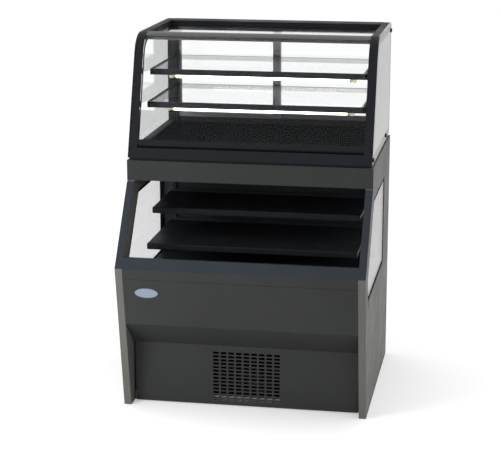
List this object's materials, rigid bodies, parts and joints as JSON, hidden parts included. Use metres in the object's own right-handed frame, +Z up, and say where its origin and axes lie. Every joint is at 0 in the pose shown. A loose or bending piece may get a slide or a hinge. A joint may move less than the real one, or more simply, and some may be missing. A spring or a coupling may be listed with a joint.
{
  "type": "refrigerated display case",
  "caption": "Two-tier display case: open-front refrigerated well with shelves below, glazed case with lit shelves, tilting glass and rear sliding doors above.",
  "frame": {"origin": "on the floor, under the middle of the case's overall box", "axes": "+X to the right seen from the front, +Y to the back, +Z up"},
  "size_m": [0.9176, 0.889, 1.375],
  "materials": {
    "case_paint": "satin",
    "end_paint": "satin",
    "trim_paint": "satin",
    "black_paint": "satin",
    "seal_rubber": "matte",
    "clear_glass": "polished",
    "badge_metal": "brushed",
    "zinc_steel": "galvanised",
    "screw_steel": "blackened",
    "white_liner": "gloss",
    "fin_metal": "finned",
    "comb_plastic": "moulded",
    "lamp_white": "gloss",
    "motor_steel": "satin",
    "fan_plastic": "moulded",
    "fan_alloy": "stamped",
    "can_paint": "gloss",
    "copper_tube": "drawn",
    "pan_plastic": "moulded",
    "black_plastic": "moulded",
    "dial_white": "gloss",
    "door_alloy": "anodised"
  },
  "bodies": {
    "cabinet": {"left_end_panel": "end_paint", "right_end_panel": "end_paint", "window_gaskets": "seal_rubber", "window_panes": "clear_glass", "opening_frame": "trim_paint", "nose_rail": "case_paint", "front_panel": "case_paint", "badge_plate": "badge_metal", "kick_panel": "case_paint", "panel_screws": "screw_steel", "base_frame": "zinc_steel", "cold_well": "white_liner", "back_duct": "black_paint", "lower_deck": "black_paint", "cooling_coil": "fin_metal", "air_comb": "comb_plastic", "canopy": "black_paint", "fascia_band": "case_paint", "canopy_lamp": "lamp_white", "condenser_coil": "fin_metal", "fan_shroud": "motor_steel", "fan_motors": "motor_steel", "compressor": "can_paint", "copper_lines": "copper_tube", "condensate_pan": "pan_plastic", "rear_panel": "case_paint", "control_panel": "black_plastic", "thermometer": "dial_white", "power_inlet": "black_plastic", "upper_base": "black_paint", "left_end_frame": "black_paint", "right_end_frame": "black_paint", "end_glasses": "clear_glass", "glass_studs": "screw_steel", "base_fascia": "black_paint", "upper_deck": "black_paint", "door_track": "black_paint", "rear_header": "black_paint", "front_header": "door_alloy", "roof_glass": "clear_glass", "shelf_standards": "black_paint", "shelf_brackets": "black_paint"},
    "front_glass": {"front_glass": "clear_glass", "glass_hinge": "black_paint"},
    "left_door": {"left_door_frame": "door_alloy", "left_door_glass": "clear_glass"},
    "right_door": {"right_door_frame": "door_alloy", "right_door_glass": "clear_glass"},
    "upper_top_shelf": {"upper_top_shelf": "black_paint", "upper_top_shelf_glass": "clear_glass", "upper_top_lamp": "lamp_white"},
    "upper_low_shelf": {"upper_low_shelf": "black_paint", "upper_low_shelf_glass": "clear_glass", "upper_low_lamp": "lamp_white"},
    "lower_top_shelf": {"lower_top_shelf": "black_paint"},
    "lower_low_shelf": {"lower_low_shelf": "black_paint"},
    "condenser_fan": {"condenser_fan": "fan_alloy"},
    "well_fan": {"well_fan": "fan_plastic"},
    "thermostat_knob": {"thermostat_knob": "black_plastic"},
    "light_switch": {"light_switch": "black_plastic"}
  },
  "joints": [
    {"name": "front_glass_tilt", "type": "hinge", "parent": "cabinet", "child": "front_glass", "pos_m": [0, -0.21205, 0.97631], "axis": [1, 0, 0], "range_deg": [0, 35]},
    {"name": "left_door_slide", "type": "slide", "parent": "cabinet", "child": "left_door", "axis": [1, 0, 0], "range_m": [0, 0.39]},
    {"name": "right_door_slide", "type": "slide", "parent": "cabinet", "child": "right_door", "axis": [-1, 0, 0], "range_m": [0, 0.39]},
    {"name": "upper_top_shelf_lift", "type": "slide", "parent": "cabinet", "child": "upper_top_shelf", "axis": [0, 0, 1], "range_m": [0, 0.03]},
    {"name": "upper_low_shelf_lift", "type": "slide", "parent": "cabinet", "child": "upper_low_shelf", "axis": [0, 0, 1], "range_m": [0, 0.03]},
    {"name": "lower_top_shelf_lift", "type": "slide", "parent": "cabinet", "child": "lower_top_shelf", "axis": [0, 0, 1], "range_m": [0, 0.03]},
    {"name": "lower_low_shelf_lift", "type": "slide", "parent": "cabinet", "child": "lower_low_shelf", "axis": [0, 0, 1], "range_m": [0, 0.03]},
    {"name": "condenser_fan_spin", "type": "hinge", "parent": "cabinet", "child": "condenser_fan", "pos_m": [0.002, -0.1855, 0.132], "axis": [0, -1, 0], "continuous": true},
    {"name": "well_fan_spin", "type": "hinge", "parent": "cabinet", "child": "well_fan", "pos_m": [0, 0.312, 0.454], "axis": [0, 0, 1], "continuous": true},
    {"name": "thermostat_turn", "type": "hinge", "parent": "cabinet", "child": "thermostat_knob", "pos_m": [0.13, 0.4265, 0.283], "axis": [0, 1, 0], "range_deg": [-135, 135]},
    {"name": "light_switch_rock", "type": "hinge", "parent": "cabinet", "child": "light_switch", "pos_m": [0.33, 0.4265, 0.283], "axis": [1, 0, 0], "range_deg": [-8, 8]}
  ]
}
